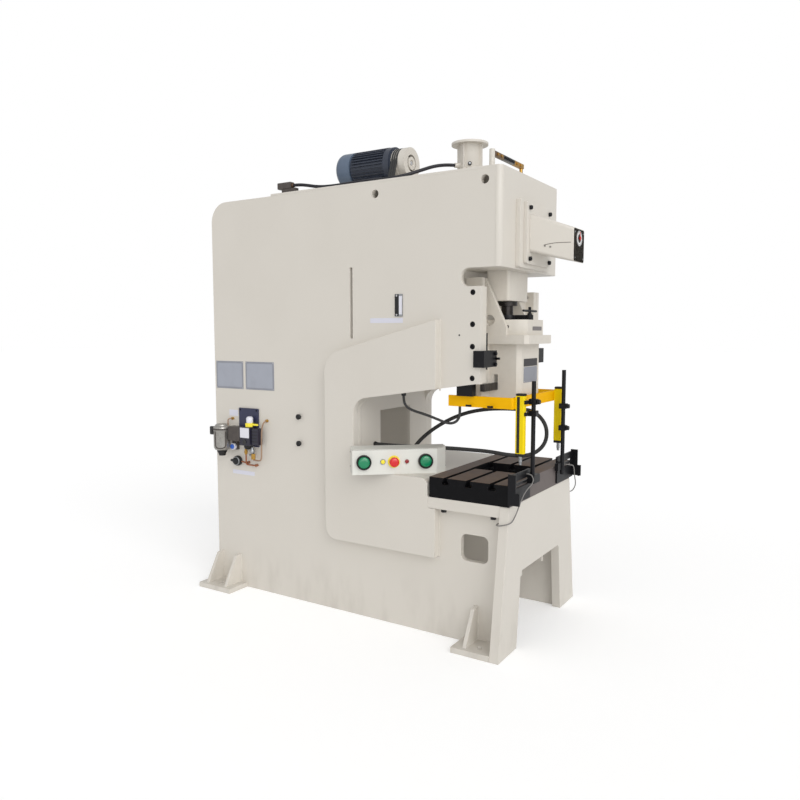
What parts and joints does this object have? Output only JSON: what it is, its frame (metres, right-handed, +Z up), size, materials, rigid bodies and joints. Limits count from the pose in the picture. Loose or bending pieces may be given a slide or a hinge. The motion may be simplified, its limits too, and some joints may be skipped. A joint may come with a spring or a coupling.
{
  "type": "mechanical stamping press",
  "caption": "Gap-frame mechanical power press with crank drive, guided slide, T-slot bolster, light curtain and two-hand control box",
  "frame": {"origin": "on the floor at the centre of the four anchor bolt holes of the base", "axes": "+Z up, -Y towards the front where the operator stands, +X to the operator's right"},
  "size_m": [1.115, 2.236, 2.664],
  "materials": {
    "cream_paint": "satin sprayed machine enamel, cream",
    "bolster_steel": "blued steel with an oily brown ground top",
    "black_steel": "blackened steel",
    "machined_steel": "machined and oiled",
    "gear_iron": "cast and machined, oiled",
    "bronze": "bearing bronze",
    "motor_paint": "blue-grey motor enamel",
    "pulley_paint": "cream enamel on cast iron",
    "brass_fittings": "brass bar and fittings",
    "grey_cable": "grey cable sheath",
    "guard_yellow": "orange-yellow enamel",
    "column_yellow": "bright yellow enamel",
    "black_plastic": "matt black",
    "pointer_red": "red enamel",
    "box_paint": "light grey powder coat",
    "green_plastic": "glossy green",
    "red_plastic": "glossy red",
    "yellow_plastic": "glossy yellow",
    "black_rubber": "matt black rubber",
    "air_unit_metal": "cast and anodised",
    "side_fittings_metal": "plain sheet and fittings"
  },
  "bodies": {
    "frame": {"air_reservoir": "cream_paint", "air_unit": "air_unit_metal", "bearing_bushes": "bronze", "bed_front_plate": "cream_paint", "bed_top_plate": "cream_paint", "black_bolts": "black_steel", "bolster": "bolster_steel", "cable_glands": "black_plastic", "cam_box": "cream_paint", "control_box": "box_paint", "control_hose": "black_rubber", "crown_front_plate": "cream_paint", "crown_walls": "cream_paint", "curtain_columns": "column_yellow", "curtain_posts": "black_steel", "feet": "cream_paint", "front_cover": "cream_paint", "gibs": "machined_steel", "guard_brackets": "black_steel", "guard_cable": "black_rubber", "guard_frame": "guard_yellow", "indicator_panel": "black_plastic", "inner_plates": "cream_paint", "knockout_stops": "black_steel", "motor_base": "cream_paint", "motor_body": "motor_paint", "motor_cowl": "motor_paint", "oil_distributor": "brass_fittings", "rear_cover": "cream_paint", "side_fittings": "side_fittings_metal", "side_plate_left": "cream_paint", "side_plate_right": "cream_paint", "throat_braces": "cream_paint", "top_hose": "black_rubber", "top_plate": "cream_paint", "v_belts": "black_rubber", "wire_left": "grey_cable", "wire_right": "grey_cable"},
    "slide": {"slide": "cream_paint", "ball_seat_cap": "cream_paint", "connecting_rod": "cream_paint", "adjusting_screw": "black_steel", "lock_ring": "black_steel"},
    "knockout_bar": {"knockout_bar": "black_steel"},
    "lock_screw": {"lock_screw": "black_steel"},
    "crank": {"crankshaft": "machined_steel", "main_gear": "gear_iron"},
    "pinion": {"pinion_shaft": "machined_steel", "clutch_brake": "black_steel"},
    "flywheel": {"flywheel": "gear_iron"},
    "motor_rotor": {"motor_pulley": "pulley_paint"},
    "pointer": {"pointer": "pointer_red"},
    "palm_button_left": {"palm_button_left": "green_plastic"},
    "palm_button_right": {"palm_button_right": "green_plastic"},
    "start_button": {"start_button": "yellow_plastic"},
    "stop_button": {"stop_button": "red_plastic"},
    "estop_button": {"estop_button": "red_plastic"},
    "clamp_knob_left": {"clamp_knob_left": "black_plastic"},
    "clamp_knob_right_low": {"clamp_knob_right_low": "black_plastic"},
    "clamp_knob_right_high": {"clamp_knob_right_high": "black_plastic"}
  },
  "joints": [
    {"name": "crank_turn", "type": "hinge", "parent": "frame", "child": "crank", "pos_m": [0, -0.728, 2.105], "axis": [0, 1, 0], "range_deg": [0, 180]},
    {"name": "slide_stroke", "type": "slide", "parent": "frame", "child": "slide", "axis": [0, 0, 1], "range_m": [-0.12, 0]},
    {"name": "pinion_turn", "type": "hinge", "parent": "frame", "child": "pinion", "pos_m": [0, -0.528, 1.755], "axis": [0, 1, 0], "range_deg": [-520, 0]},
    {"name": "flywheel_spin", "type": "hinge", "parent": "frame", "child": "flywheel", "pos_m": [0, -0.128, 1.755], "axis": [0, 1, 0], "continuous": true},
    {"name": "motor_spin", "type": "hinge", "parent": "frame", "child": "motor_rotor", "pos_m": [0, -0.128, 2.561], "axis": [0, 1, 0], "continuous": true},
    {"name": "pointer_turn", "type": "hinge", "parent": "frame", "child": "pointer", "pos_m": [0, -1.203, 2.071], "axis": [0, 1, 0], "range_deg": [0, 180]},
    {"name": "knockout_bar_lift", "type": "slide", "parent": "slide", "child": "knockout_bar", "axis": [0, 0, 1], "range_m": [0, 0.042]},
    {"name": "lock_screw_turn", "type": "hinge", "parent": "slide", "child": "lock_screw", "pos_m": [0, -0.94, 1.7], "axis": [0, 0, 1], "range_deg": [-45, 45]},
    {"name": "palm_left_press", "type": "slide", "parent": "frame", "child": "palm_button_left", "axis": [0.7604, 0.6494, 0], "range_m": [0, 0.006], "stiffness_N_per_m": 800},
    {"name": "palm_right_press", "type": "slide", "parent": "frame", "child": "palm_button_right", "axis": [0.7604, 0.6494, 0], "range_m": [0, 0.006], "stiffness_N_per_m": 800},
    {"name": "start_press", "type": "slide", "parent": "frame", "child": "start_button", "axis": [0.7604, 0.6494, 0], "range_m": [0, 0.004], "stiffness_N_per_m": 800},
    {"name": "stop_press", "type": "slide", "parent": "frame", "child": "stop_button", "axis": [0.7604, 0.6494, 0], "range_m": [0, 0.004], "stiffness_N_per_m": 800},
    {"name": "estop_press", "type": "slide", "parent": "frame", "child": "estop_button", "axis": [0.7604, 0.6494, 0], "range_m": [0, 0.006]},
    {"name": "clamp_knob_left_turn", "type": "hinge", "parent": "frame", "child": "clamp_knob_left", "pos_m": [-0.218, -1.086, 1.252], "axis": [0, 1, 0], "range_deg": [-90, 90]},
    {"name": "clamp_knob_right_low_turn", "type": "hinge", "parent": "frame", "child": "clamp_knob_right_low", "pos_m": [0.218, -1.086, 1.072], "axis": [0, 1, 0], "range_deg": [-90, 90]},
    {"name": "clamp_knob_right_high_turn", "type": "hinge", "parent": "frame", "child": "clamp_knob_right_high", "pos_m": [0.218, -1.086, 1.193], "axis": [0, 1, 0], "range_deg": [-90, 90]}
  ],
  "couplings": [
    {"joint": "slide_stroke", "follows": "crank_turn", "m_per_rad": -0.038197},
    {"joint": "pinion_turn", "follows": "crank_turn", "ratio": -2.8889},
    {"joint": "pointer_turn", "follows": "crank_turn", "ratio": 1},
    {"joint": "motor_spin", "follows": "flywheel_spin", "ratio": 3.8707}
  ]
}
